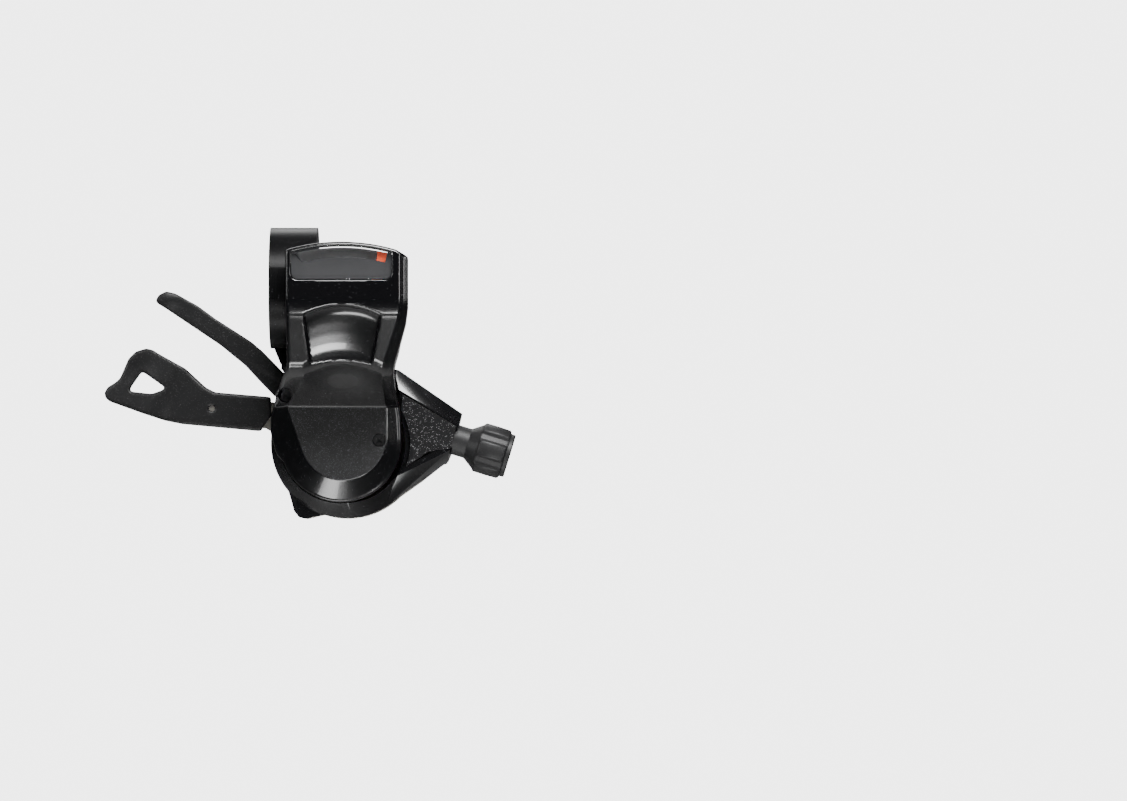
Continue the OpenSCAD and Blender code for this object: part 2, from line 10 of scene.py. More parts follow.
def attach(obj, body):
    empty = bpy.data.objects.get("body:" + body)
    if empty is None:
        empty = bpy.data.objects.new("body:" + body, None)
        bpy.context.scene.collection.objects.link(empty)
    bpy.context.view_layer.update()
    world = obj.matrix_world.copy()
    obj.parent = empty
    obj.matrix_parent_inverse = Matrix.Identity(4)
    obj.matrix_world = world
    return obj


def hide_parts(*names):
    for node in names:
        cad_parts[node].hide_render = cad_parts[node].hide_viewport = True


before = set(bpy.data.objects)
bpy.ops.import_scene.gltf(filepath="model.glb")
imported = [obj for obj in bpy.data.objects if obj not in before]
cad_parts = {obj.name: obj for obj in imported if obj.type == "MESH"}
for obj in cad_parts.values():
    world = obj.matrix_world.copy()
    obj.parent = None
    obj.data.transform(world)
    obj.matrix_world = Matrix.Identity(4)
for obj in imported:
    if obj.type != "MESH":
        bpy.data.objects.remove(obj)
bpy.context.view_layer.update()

bl_info = {
    "name": "Thumb shifter",
    "version": (1, 0, 0),
    "blender": (4, 5, 0),
    "location": "3D View > Sidebar > Shifter",
    "description": "Builds the visible pieces of a two-lever thumb shifter and its studio",
    "category": "Add Mesh",
}

MM = 0.001
BODY = "shifter_body"


# ---------------------------------------------------------------- settings

def length(name, text, value, low=0.0):
    """A length property in metres."""
    return bpy.props.FloatProperty(
        name=name, description=text, default=value, min=low, unit="LENGTH", precision=5)


def paint(name, text, value):
    """A colour property."""
    return bpy.props.FloatVectorProperty(
        name=name, description=text, default=value, size=3, min=0.0, max=1.0, subtype="COLOR")


class ShifterSizes(bpy.types.PropertyGroup):
    """Sizes that shape the finished pieces."""

    cover_wall: length("Cover wall", "Thickness of the gloss cover", 1.1 * MM)
    cover_rim: length("Cover rim", "Rounding along the cover's front edge", 0.8 * MM)
    cell: length("Cover mesh cell", "Spacing of the cover's mesh", 0.32 * MM, 0.1 * MM)
    soft_edge: length("Moulded edge", "Rounding of moulded plastic edges", 0.35 * MM)
    metal_edge: length("Metal edge", "Rounding of stamped and turned metal edges", 0.12 * MM)
    lever_cell: length("Lever mesh cell", "Spacing of the lever caps' mesh", 0.34 * MM, 0.1 * MM)


class ShifterColours(bpy.types.PropertyGroup):
    """Colours of the finishes."""

    gloss: paint("Gloss black", "Body colour of the cover and housing", (0.0025, 0.0025, 0.003))
    face: paint("Round face", "Matte dark face of the cover", (0.0065, 0.0065, 0.007))
    fleck: paint("Metal fleck", "Fine flake in the black plastic", (0.2, 0.205, 0.22))
    lever: paint("Lever black", "Moulded lever caps", (0.007, 0.007, 0.0073))
    steel: paint("Bare steel", "Lever plates and base plate", (0.62, 0.6, 0.55))
    flag: paint("Indicator", "Orange gear indicator", (0.95, 0.085, 0.012))
    floor: paint("Floor", "Pale studio floor", (0.86, 0.86, 0.86))


def sizes():
    return bpy.context.scene.shifter_sizes


def colours():
    return bpy.context.scene.shifter_colours


# ---------------------------------------------------------------- small maths

def blend_step(value, low, high):
    """0 below low, 1 above high, with a soft turn between them."""
    t = min(1.0, max(0.0, (value - low) / (high - low)))
    return t * t * (3.0 - 2.0 * t)


def soft_max(a, b, k):
    """The larger of two values, rounded over a width k where they meet."""
    h = max(k - abs(a - b), 0.0) / k
    return max(a, b) + h * h * k * 0.25


def soft_min(a, b, k):
    return -soft_max(-a, -b, k)


def along(points, z):
    """Value at z on a line through (z, value) points, listed from low z to high."""
    if z <= points[0][0]:
        return points[0][1]
    for (z0, v0), (z1, v1) in zip(points, points[1:]):
        if z <= z1:
            return v0 + (v1 - v0) * (z - z0) / (z1 - z0)
    return points[-1][1]


def eased(points, z, reach):
    """The same line with its corners rounded over a reach either side."""
    return sum(along(points, z + reach * k / 3.0) for k in range(-3, 4)) / 7.0


# ---------------------------------------------------------------- making pieces

def finish_piece(name, bm, body, materials, nodes=(), angle=40.0):
    """Turns a bmesh into a finished object that rides on a body and stands for CAD nodes."""
    mesh = bpy.data.meshes.new(name)
    bm.to_mesh(mesh)
    bm.free()
    for poly in mesh.polygons:
        poly.use_smooth = True
    mesh.set_sharp_from_angle(angle=math.radians(angle))
    piece = bpy.data.objects.new(name, mesh)
    bpy.context.collection.objects.link(piece)
    for material in materials:
        mesh.materials.append(material)
    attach(piece, body)
    if nodes:
        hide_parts(*nodes)
    return piece


def cad_shape(node):
    """A merged bmesh copy of a CAD node, with its flat faces made whole."""
    bm = bmesh.new()
    bm.from_mesh(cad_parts[node].data)
    bmesh.ops.remove_doubles(bm, verts=bm.verts, dist=2e-6)
    bmesh.ops.dissolve_limit(
        bm, angle_limit=math.radians(0.6), verts=bm.verts, edges=bm.edges,
        use_dissolve_boundaries=False)
    return bm


def round_edges(piece, width, segments=3, angle=32.0):
    """Adds a live bevel that rounds the piece's sharp edges."""
    edge = piece.modifiers.new("Rounded edges", "BEVEL")
    edge.width = width
    edge.segments = segments
    edge.limit_method = "ANGLE"
    edge.angle_limit = math.radians(angle)
    edge.harden_normals = True
    edge.use_clamp_overlap = True
    return piece


def rounded_copy(node, body, material, width):
    """A CAD node's shape with rounded edges."""
    piece = finish_piece(node + "_finished", cad_shape(node), body, [material], [node])
    return round_edges(piece, width)


def slab_shape(outline, y0, y1):
    """A bmesh prism from an outline of (x, z) millimetres, thick from y0 to y1."""
    bm = bmesh.new()
    verts = [bm.verts.new((x * MM, y0 * MM, z * MM)) for x, z in outline]
    face = bm.faces.new(verts)
    bottom = bmesh.ops.extrude_face_region(bm, geom=[face])
    moved = [g for g in bottom["geom"] if isinstance(g, bmesh.types.BMVert)]
    bmesh.ops.translate(bm, vec=(0, (y1 - y0) * MM, 0), verts=moved)
    bmesh.ops.recalc_face_normals(bm, faces=bm.faces)
    return bm


def arc_points(cx, cz, r, a0, a1, n=16):
    return [(cx + r * math.cos(math.radians(a0 + (a1 - a0) * i / n)),
             cz + r * math.sin(math.radians(a0 + (a1 - a0) * i / n))) for i in range(n + 1)]


# ---------------------------------------------------------------- materials

def group_socket(tree, way, name, kind, value=None):
    made = tree.interface.new_socket(name=name, in_out=way, socket_type=kind)
    if value is not None:
        made.default_value = value


def wire(tree, source, target):
    tree.links.new(source, target)


def maths(tree, operation, a, b=None, c=None, clamp=False):
    """A Math node; numbers are set on it, sockets are wired to it."""
    node = tree.nodes.new("ShaderNodeMath")
    node.operation = operation
    node.use_clamp = clamp
    for i, value in enumerate((a, b, c)):
        if value is None:
            continue
        if isinstance(value, (int, float)):
            node.inputs[i].default_value = value
        else:
            wire(tree, value, node.inputs[i])
    return node.outputs[0]


def noise_field(tree, place, scale, detail=3.0, roughness=0.55):
    node = tree.nodes.new("ShaderNodeTexNoise")
    node.inputs["Detail"].default_value = detail
    node.inputs["Roughness"].default_value = roughness
    wire(tree, place, node.inputs["Vector"])
    if isinstance(scale, (int, float)):
        node.inputs["Scale"].default_value = scale
    else:
        wire(tree, scale, node.inputs["Scale"])
    return node.outputs["Fac"]


def moulded_group():
    """Moulded plastic: fine grain, metal flecks and handling marks."""
    name = "Moulded Surface"
    if name in bpy.data.node_groups:
        return bpy.data.node_groups[name]
    tree = bpy.data.node_groups.new(name, "ShaderNodeTree")
    group_socket(tree, "INPUT", "Colour", "NodeSocketColor", (0.01, 0.01, 0.01, 1))
    group_socket(tree, "INPUT", "Fleck Colour", "NodeSocketColor", (0.4, 0.4, 0.4, 1))
    for label, value in (("Fleck Scale", 4000.0), ("Fleck Share", 0.1), ("Grain Scale", 3000.0),
                         ("Grain Shade", 0.1), ("Roughness", 0.3), ("Handling", 0.1)):
        group_socket(tree, "INPUT", label, "NodeSocketFloat", value)
    group_socket(tree, "OUTPUT", "Colour", "NodeSocketColor")
    group_socket(tree, "OUTPUT", "Roughness", "NodeSocketFloat")
    group_socket(tree, "OUTPUT", "Height", "NodeSocketFloat")
    take = tree.nodes.new("NodeGroupInput").outputs
    give = tree.nodes.new("NodeGroupOutput").inputs
    place = tree.nodes.new("ShaderNodeTexCoord").outputs["Object"]
    cells = tree.nodes.new("ShaderNodeTexVoronoi")
    cells.feature = "F1"
    wire(tree, place, cells.inputs["Vector"])
    wire(tree, take["Fleck Scale"], cells.inputs["Scale"])
    split = tree.nodes.new("ShaderNodeSeparateColor")
    wire(tree, cells.outputs["Color"], split.inputs[0])
    chosen = maths(tree, "LESS_THAN", split.outputs[0], take["Fleck Share"])
    near = maths(tree, "LESS_THAN", cells.outputs["Distance"], 0.36)
    shine = maths(tree, "MULTIPLY", chosen, near)
    glint = maths(tree, "ADD", maths(tree, "MULTIPLY", split.outputs[1], 0.85), 0.15)
    fleck = maths(tree, "MULTIPLY", shine, glint)
    grain = noise_field(tree, place, take["Grain Scale"], 2.0)
    patch = noise_field(tree, place, 90.0, 4.0)
    tone = maths(tree, "MULTIPLY", maths(tree, "SUBTRACT", grain, 0.5), take["Grain Shade"])
    tone = maths(tree, "ADD", tone, 1.0)
    shade = tree.nodes.new("ShaderNodeVectorMath")
    shade.operation = "SCALE"
    wire(tree, take["Colour"], shade.inputs[0])
    wire(tree, tone, shade.inputs["Scale"])
    mix = tree.nodes.new("ShaderNodeMix")
    mix.data_type = "RGBA"
    wire(tree, fleck, mix.inputs["Factor"])
    wire(tree, shade.outputs[0], mix.inputs[6])
    wire(tree, take["Fleck Colour"], mix.inputs[7])
    wire(tree, mix.outputs[2], give["Colour"])
    smear = maths(tree, "MULTIPLY", maths(tree, "SUBTRACT", patch, 0.5), take["Handling"])
    rough = maths(tree, "ADD", take["Roughness"], smear)
    tooth = maths(tree, "MULTIPLY", maths(tree, "SUBTRACT", grain, 0.5), 0.08)
    rough = maths(tree, "ADD", rough, tooth, clamp=True)
    wire(tree, rough, give["Roughness"])
    wire(tree, maths(tree, "ADD", grain, maths(tree, "MULTIPLY", fleck, 0.4)), give["Height"])
    return tree


def metal_group():
    """Rolled or turned metal: fine drawn lines, mottling and faint stains."""
    name = "Worked Metal"
    if name in bpy.data.node_groups:
        return bpy.data.node_groups[name]
    tree = bpy.data.node_groups.new(name, "ShaderNodeTree")
    group_socket(tree, "INPUT", "Colour", "NodeSocketColor", (0.6, 0.6, 0.6, 1))
    group_socket(tree, "INPUT", "Stain", "NodeSocketColor", (0.3, 0.28, 0.24, 1))
    group_socket(tree, "INPUT", "Roughness", "NodeSocketFloat", 0.35)
    group_socket(tree, "INPUT", "Lines", "NodeSocketFloat", 0.12)
    group_socket(tree, "OUTPUT", "Colour", "NodeSocketColor")
    group_socket(tree, "OUTPUT", "Roughness", "NodeSocketFloat")
    group_socket(tree, "OUTPUT", "Height", "NodeSocketFloat")
    take = tree.nodes.new("NodeGroupInput").outputs
    give = tree.nodes.new("NodeGroupOutput").inputs
    place = tree.nodes.new("ShaderNodeTexCoord").outputs["Object"]
    stretch = tree.nodes.new("ShaderNodeMapping")
    stretch.inputs["Scale"].default_value = (0.06, 1.0, 1.0)
    wire(tree, place, stretch.inputs["Vector"])
    lines = noise_field(tree, stretch.outputs[0], 5200.0, 2.0)
    mottle = noise_field(tree, place, 420.0, 4.0)
    mask = maths(tree, "MULTIPLY", maths(tree, "SUBTRACT", mottle, 0.42), 1.6, clamp=True)
    mix = tree.nodes.new("ShaderNodeMix")
    mix.data_type = "RGBA"
    wire(tree, maths(tree, "MULTIPLY", mask, 0.5), mix.inputs["Factor"])
    wire(tree, take["Colour"], mix.inputs[6])
    wire(tree, take["Stain"], mix.inputs[7])
    wire(tree, mix.outputs[2], give["Colour"])
    rough = maths(tree, "MULTIPLY_ADD", maths(tree, "SUBTRACT", lines, 0.5), take["Lines"], take["Roughness"])
    rough = maths(tree, "ADD", rough, maths(tree, "MULTIPLY", mask, 0.12), clamp=True)
    wire(tree, rough, give["Roughness"])
    wire(tree, lines, give["Height"])
    return tree


def shader_parts(name):
    """A new material with its Principled shader; returns the material, its tree and the shader."""
    material = bpy.data.materials.new(name)
    material.use_nodes = True
    tree = material.node_tree
    return material, tree, tree.nodes["Principled BSDF"]


def add_bump(tree, shader, height, depth):
    bump = tree.nodes.new("ShaderNodeBump")
    bump.inputs["Strength"].default_value = 1.0
    bump.inputs["Distance"].default_value = depth
    wire(tree, height, bump.inputs["Height"])
    wire(tree, bump.outputs[0], shader.inputs["Normal"])


def plastic(name, colour, roughness, fleck=None, fleck_scale=4000.0, fleck_share=0.0, grain=3000.0,
            shade=0.25, depth=4e-6, handling=0.12, coat=0.0, specular=0.5):
    """Moulded plastic or paint."""
    if name in bpy.data.materials:
        return bpy.data.materials[name]
    material, tree, shader = shader_parts(name)
    surface = tree.nodes.new("ShaderNodeGroup")
    surface.node_tree = moulded_group()
    values = {"Fleck Scale": fleck_scale, "Fleck Share": fleck_share, "Grain Scale": grain,
              "Grain Shade": shade, "Roughness": roughness, "Handling": handling}
    for label, value in values.items():
        surface.inputs[label].default_value = value
    surface.inputs["Colour"].default_value = (*colour, 1)
    surface.inputs["Fleck Colour"].default_value = (*(fleck or colour), 1)
    wire(tree, surface.outputs["Colour"], shader.inputs["Base Color"])
    wire(tree, surface.outputs["Roughness"], shader.inputs["Roughness"])
    add_bump(tree, shader, surface.outputs["Height"], depth)
    shader.inputs["Coat Weight"].default_value = coat
    shader.inputs["Coat Roughness"].default_value = 0.06
    shader.inputs["Specular IOR Level"].default_value = specular
    return material


def metal(name, colour, stain, roughness, lines=0.14, depth=1.5e-6):
    """Bare, plated or oiled metal."""
    if name in bpy.data.materials:
        return bpy.data.materials[name]
    material, tree, shader = shader_parts(name)
    surface = tree.nodes.new("ShaderNodeGroup")
    surface.node_tree = metal_group()
    surface.inputs["Colour"].default_value = (*colour, 1)
    surface.inputs["Stain"].default_value = (*stain, 1)
    surface.inputs["Roughness"].default_value = roughness
    surface.inputs["Lines"].default_value = lines
    wire(tree, surface.outputs["Colour"], shader.inputs["Base Color"])
    wire(tree, surface.outputs["Roughness"], shader.inputs["Roughness"])
    add_bump(tree, shader, surface.outputs["Height"], depth)
    shader.inputs["Metallic"].default_value = 1.0
    return material


def housing_black():
    c = colours()
    return plastic("Housing black", c.gloss, 0.26, c.fleck, 5200.0, 0.015, 2600.0, 0.3, 1.5e-6,
                   handling=0.08, coat=0.2)


def lever_black():
    return plastic("Lever black", colours().lever, 0.46, (0.06, 0.06, 0.063), 5600.0, 0.16, 5200.0, 0.8,
                   9e-6, handling=0.1, specular=0.25)


def textured_black():
    return plastic("Coarse sparkling black", (0.004, 0.004, 0.0045), 0.4, (0.3, 0.303, 0.31), 4800.0, 0.26,
                   3600.0, 0.8, 2.4e-5, handling=0.06, specular=0.35)


def knob_black():
    return plastic("Knob black", (0.009, 0.009, 0.0095), 0.5, (0.04, 0.04, 0.04), 4200.0, 0.1, 3600.0, 0.7,
                   8e-6, handling=0.1, specular=0.4)


def clamp_black():
    return plastic("Clamp black", (0.003, 0.003, 0.0033), 0.36, colours().fleck, 5200.0, 0.01, 2200.0, 0.5,
                   5e-6, specular=0.1)


def inner_black():
    return plastic("Inner black", (0.014, 0.014, 0.015), 0.45, grain=2600.0, shade=0.6, depth=8e-6)


def bare_steel():
    return metal("Bare steel", colours().steel, (0.42, 0.39, 0.33), 0.34)


def zinc_steel():
    return metal("Zinc plated", (0.6, 0.6, 0.62), (0.42, 0.42, 0.44), 0.3)


def dark_steel():
    return metal("Dark steel", (0.16, 0.16, 0.165), (0.07, 0.07, 0.07), 0.3)


def spring_steel():
    return metal("Spring wire", (0.34, 0.34, 0.36), (0.2, 0.19, 0.17), 0.3)


def brass():
    return metal("Brass bush", (0.72, 0.56, 0.28), (0.42, 0.3, 0.14), 0.32)


def nylon():
    return plastic("White nylon", (0.68, 0.67, 0.63), 0.42, (0.6, 0.59, 0.55), 2400.0, 0.1, 2000.0, 0.12,
                   6e-6, handling=0.1)


def indicator_orange():
    return plastic("Indicator orange", colours().flag, 0.38, (1.0, 0.2, 0.08), 3000.0, 0.08, 2000.0, 0.12,
                   3e-6, handling=0.08)


# ---------------------------------------------------------------- the cover's shape

# All in millimetres. Circles are (x, z, radius), edges are (z, x) and depths are (z, y).
TOP_ARC = (12.4, -35.9, 47.0)
RIGHT_CORNER = (25.67, 28.8, 7.3)  # start x of the cut corner, then x and z of its foot
LOW_CIRCLE = (11.4, -38.35, 15.3)
FACE_CIRCLE = (12.1, -37.2, 10.8)
FACE_LEAN = (0.324, -0.946)  # downward run of the face's left edge
FACE_TOP = -29.5
COVER_RIGHT = [(-37.0, 26.64), (-32, 26.4), (-25, 25.2), (-21.5, 24.9), (-19, 25.3), (-9.2, 28.25),
               (-5.35, 28.8), (7.3, 28.8)]
COVER_LEFT = [(-43.08, -3.15), (-41.2, -4.9), (-36, -6.3), (-32, -6.1), (-28, -4.8), (-22.5, -2.6),
              (-19.5, -1.25), (9, -1.42)]
BAND_EDGE = [(-32, 22.9), (-29.5, 22.9), (-24, 22.2), (-19, 22.6), (-9, 26.0), (-5.4, 26.6), (9, 26.6)]
SCOOP = [(-24, -15.4), (-22, -15.75), (-20, -16.1), (-18.2, -16.55), (-16.5, -17.2), (-14, -18.3),
         (-11, -19.75), (-9.2, -20.75), (-8.3, -21.5), (-7.6, -22.3), (-6.9, -23.3)]
SCOOP_LEFT = [(-21.5, 4.4), (-18, 4.1), (-7.7, 2.9), (-4, 2.9)]
SCOOP_RIGHT = [(-21.5, 20.1), (-18.3, 20.2), (-8, 22.2), (-4, 22.5)]
SCOOP_TOP = -6.9
DISPLAY_DEPTH = -24.0
NECK_TOP = 5.4
NECK_FALL = 7.6 / 14.6
SLOPE_DEPTH = -16.5
SLOPE_TOP = 20.3
SLOPE_FALL = 18.5 / 9.2
FACE_DEPTH = 2.0
BAR_CLEARANCE = 19.9
BAND_FALL = 0.8
RIM_FALL = 0.72


def cover_top(x):
    """Height of the cover's arched top edge."""
    cx, cz, r = TOP_ARC
    corner_x, side_x, side_z = RIGHT_CORNER
    if x > corner_x:
        start = cz + math.sqrt(r * r - (corner_x - cx) ** 2)
        return start + (side_z - start) * (x - corner_x) / (side_x - corner_x)
    return cz + math.sqrt(r * r - (x - cx) ** 2)


def cover_side(z, points, sign):
    """Where the cover's left or right edge stands at height z."""
    cx, cz, r = LOW_CIRCLE
    if z < points[0][0]:
        return cx + sign * math.sqrt(max(0.0, r * r - (z - cz) ** 2))
    return eased(points, z, 0.5)


def face_edge(x, z):
    """Distance outside the matte round face, in millimetres; negative inside it."""
    cx, cz, r = FACE_CIRCLE
    lean_x, lean_z = FACE_LEAN
    dx, dz = x - cx, z - cz
    if dz < 0 and dx * lean_x + dz * lean_z > 0:
        return math.hypot(dx, dz) - r
    return max(dx - r, dx * lean_z - dz * lean_x - r)


def arch_shift(x):
    """How far the hollow's top edge rises towards its middle."""
    return 2.6 * max(0.0, 1.0 - ((x - 12.6) / 9.8) ** 2)


def cover_front(x, z):
    """Depth of the cover's front surface."""
    neck = DISPLAY_DEPTH + (-z - NECK_TOP) * NECK_FALL
    raised = 0.8 * arch_shift(x) * blend_step(z, -29.0, -19.5)
    slope = SLOPE_DEPTH + (raised - z - SLOPE_TOP) * SLOPE_FALL
    y = soft_max(DISPLAY_DEPTH, neck, 1.5)
    y = soft_max(y, slope, 3.2)
    # Hollow under the display
    if -24.0 < z < -3.0:
        lowered = z - arch_shift(x) * blend_step(z, -24.5, -20.0)
        left = x - eased(SCOOP_LEFT, z, 1.0)
        right = eased(SCOOP_RIGHT, z, 1.0) - x
        deep = eased(SCOOP, lowered, 0.5)
        deep = min(deep, -math.sqrt(max(0.0, BAR_CLEARANCE ** 2 - z * z)))
        if lowered < SCOOP_TOP and deep > y:
            side = blend_step(min(left, right), -0.1, 0.75)
            top = blend_step(SCOOP_TOP - lowered, 0.0, 0.8)
            y = soft_max(y, y + (deep - y) * side * top, 0.5)
    y = soft_min(y, FACE_DEPTH, 0.5)
    # Side facets that fall away from the front
    low = blend_step(-z, 28.9, 30.0)
    y += BAND_FALL * max(0.0, x - eased(BAND_EDGE, z, 0.8)) * (1.0 - low)
    y += RIM_FALL * max(0.0, face_edge(x, z)) * low
    return y


def cover_back(z):
    """Depth of the cover's back edge along its sides."""
    if z > -2.5:
        return -16.2
    if z > -15.2:
        return -math.sqrt(15.6 ** 2 - z * z) * blend_step(-z, 2.4, 2.6) - 0.4
    if z > -22.6:
        return 2.0 - 4.2 * blend_step(z, -17.0, -15.2)
    return 2.0 + 7.5 * blend_step(-z, 22.6, 24.6)


def outward(edges):
    """Each vertex of an open rim with its outward direction in the X-Z plane."""
    directions = {}
    for edge in edges:
        face = edge.link_faces[0]
        middle = (edge.verts[0].co + edge.verts[1].co) / 2
        away = middle - face.calc_center_median()
        along_edge = edge.verts[1].co - edge.verts[0].co
        away.y = 0
        along_edge.y = 0
        if along_edge.length:
            away -= away.project(along_edge)
        if not away.length:
            continue
        for vert in edge.verts:
            directions[vert] = directions.get(vert, Vector()) + away.normalized()
    return {vert: way.normalized() for vert, way in directions.items() if way.length}


def grow_rim(bm, edges, steps):
    """Extrudes an open rim by steps of (outwards, back) metres; gives the last rim's edges."""
    ways = {tuple(v.co): way for v, way in outward(edges).items()}
    for out, back in steps:
        grown = bmesh.ops.extrude_edge_only(bm, edges=edges)["geom"]
        edges = [g for g in grown if isinstance(g, bmesh.types.BMEdge)]
        moved = {}
        for vert in [g for g in grown if isinstance(g, bmesh.types.BMVert)]:
            way = ways.get(tuple(vert.co), Vector())
            vert.co += way * out
            vert.co.y += back
            moved[tuple(vert.co)] = way
        ways = moved
    return edges


COVER_WIDE = 34
COVER_SPANS = (11, 40, 19)  # above the bar's centre, down to the round face's centre, and below it
FOOT_TURN = math.radians(87.5)


def cover_shell():
    """The open shell of the cover: its front surface, rounded rim and side walls."""
    s = sizes()
    rim = s.cover_rim / MM
    cell = s.cell / MM
    columns = int(COVER_WIDE / cell)
    rows_high, rows_mid, rows_low = (int(span / cell) for span in COVER_SPANS)
    rows = rows_high + rows_mid + rows_low
    bm = bmesh.new()
    bmesh.ops.create_grid(bm, x_segments=columns, y_segments=rows, size=0.5)
    cx, cz, r = LOW_CIRCLE
    for vert in bm.verts:
        u = vert.co.x + 0.5
        row = (vert.co.y + 0.5) * rows
        if row < rows_low:
            # Rows crowd together towards the foot of the round face
            turn = FOOT_TURN * (1 - row / rows_low)
            z = cz - (r - rim) * math.sin(turn)
        else:
            z = cz - cz * min(1.0, (row - rows_low) / rows_mid)
        if z < cz:
            half = math.sqrt(max(0.0, (r - rim) ** 2 - (z - cz) ** 2))
            low_left = cover_side(z, COVER_LEFT, -1) + rim
            x0 = min(cx - half, low_left) if z > COVER_LEFT[0][0] else cx - half
            x1 = cx + half
        else:
            x0 = cover_side(z, COVER_LEFT, -1) + rim
            x1 = cover_side(z, COVER_RIGHT, 1) - rim
        x = x0 + (x1 - x0) * u
        if row > rows_low + rows_mid:
            t = (row - rows_low - rows_mid) / rows_high
            z = (cover_top(x) - rim) * t
        vert.co = Vector((x * MM, cover_front(x, z) * MM, z * MM))
    for face in bm.faces:
        face.normal_update()
    edges = [e for e in bm.edges if len(e.link_faces) == 1]
    turns = [math.radians(a) for a in (0, 22.5, 45, 67.5, 90)]
    steps = [(s.cover_rim * (math.sin(b) - math.sin(a)), s.cover_rim * (math.cos(a) - math.cos(b)))
             for a, b in zip(turns, turns[1:])]
    edges = grow_rim(bm, edges, steps)
    grown = bmesh.ops.extrude_edge_only(bm, edges=edges)["geom"]
    for vert in [g for g in grown if isinstance(g, bmesh.types.BMVert)]:
        vert.co.y = max(vert.co.y + 0.4 * MM, cover_back(vert.co.z / MM) * MM)
    bmesh.ops.remove_doubles(bm, verts=bm.verts, dist=1e-6)
    bmesh.ops.recalc_face_normals(bm, faces=bm.faces)
    front = min(bm.faces, key=lambda f: f.calc_center_median().y)
    if front.normal.y > 0:
        bmesh.ops.reverse_faces(bm, faces=bm.faces)
    return bm


def temporary(name, bm):
    """A working object made from a bmesh, removed after use."""
    mesh = bpy.data.meshes.new(name)
    bm.to_mesh(mesh)
    bm.free()
    piece = bpy.data.objects.new(name, mesh)
    bpy.context.collection.objects.link(piece)
    return piece


def settle(piece):
    """Gives the result of a working object's modifiers as a bmesh."""
    bpy.context.view_layer.update()
    graph = bpy.context.evaluated_depsgraph_get()
    bm = bmesh.new()
    bm.from_object(piece, graph)
    return bm


def discard(*pieces):
    for piece in pieces:
        mesh = piece.data
        bpy.data.objects.remove(piece)
        bpy.data.meshes.remove(mesh)


def window_outline(grow):
    """Outline of the display window, widened by grow."""
    cx, cz, r = TOP_ARC
    return (arc_points(cx, cz, r - 0.75 + grow, 105.6, 74.2, 24)
            + arc_points(23.2, 3.5, 1.9 + grow, 0, -90, 8) + arc_points(1.7, 3.5, 1.9 + grow, 270, 180, 8))


# Cover screws: place, counterbore radius and depth of its floor
SCREW_SPOTS = [(-2.3, -26.8, 1.75, 1.7), (21.1, -38.05, 1.65, 4.0)]


def nearest_on(outline, x, z):
    """The point of a closed outline nearest to (x, z)."""
    best = None
    for (ax, az), (bx, bz) in zip(outline, outline[1:] + outline[:1]):
        run = (bx - ax) ** 2 + (bz - az) ** 2
        t = min(1.0, max(0.0, ((x - ax) * (bx - ax) + (z - az) * (bz - az)) / run)) if run else 0.0
        spot = (ax + (bx - ax) * t, az + (bz - az) * t)
        away = (spot[0] - x) ** 2 + (spot[1] - z) ** 2
        if best is None or away < best[0]:
            best = (away, spot)
    return best[1]


def inside_of(outline, x, z):
    """True where (x, z) lies inside a closed outline."""
    inside = False
    for (ax, az), (bx, bz) in zip(outline, outline[1:] + outline[:1]):
        if (az > z) != (bz > z) and x < ax + (bx - ax) * (z - az) / (bz - az):
            inside = not inside
    return inside


def cut_opening(bm, outline):
    """Opens the cover's front along an outline; gives the edges of the opening."""
    gone = []
    for face in bm.faces:
        middle = face.calc_center_median() / MM
        if middle.y < 9.0 and inside_of(outline, middle.x, middle.z):
            gone.append(face)
    whole = {e for e in bm.edges if len(e.link_faces) == 2}
    bmesh.ops.delete(bm, geom=gone, context="FACES")
    edges = [e for e in whole if e.is_valid and len(e.link_faces) == 1]
    for vert in {v for e in edges for v in e.verts}:
        x, z = nearest_on(outline, vert.co.x / MM, vert.co.z / MM)
        vert.co = Vector((x * MM, cover_front(x, z) * MM, z * MM))
    return edges


class SHIFTER_OT_cover(bpy.types.Operator):
    """Build the one-piece gloss cover with its display opening, hollow neck and round face"""
    bl_idname = "shifter.cover"
    bl_label = "Top cover"

    def execute(self, context):
        bm = cover_shell()
        cut_opening(bm, window_outline(0))
        for x, z, radius, floor in SCREW_SPOTS:
            edges = cut_opening(bm, arc_points(x, z, radius, 0, 345, 23))
            for share in (1.0, 0.5):
                grown = bmesh.ops.extrude_edge_only(bm, edges=edges)["geom"]
                edges = [g for g in grown if isinstance(g, bmesh.types.BMEdge)]
                for vert in [g for g in grown if isinstance(g, bmesh.types.BMVert)]:
                    middle = Vector((x * MM, floor * MM, z * MM))
                    vert.co.y = middle.y
                    vert.co = middle + (vert.co - middle) * share
        piece = finish_piece("gloss_cover", bm, BODY, [cover_finish()], ["top_cover"], 38.0)
        wall = piece.modifiers.new("Wall", "SOLIDIFY")
        wall.thickness = sizes().cover_wall
        wall.offset = -1
        wall.use_rim = True
        edge = piece.data.attributes.new("face_edge", "FLOAT", "POINT")
        for i, vert in enumerate(piece.data.vertices):
            x, y, z = (c / MM for c in vert.co)
            outside = max(face_edge(x, z), z - FACE_TOP)
            edge.data[i].value = max(-1.0, min(1.0, outside)) if y > 0.5 else 1.0
        return {"FINISHED"}


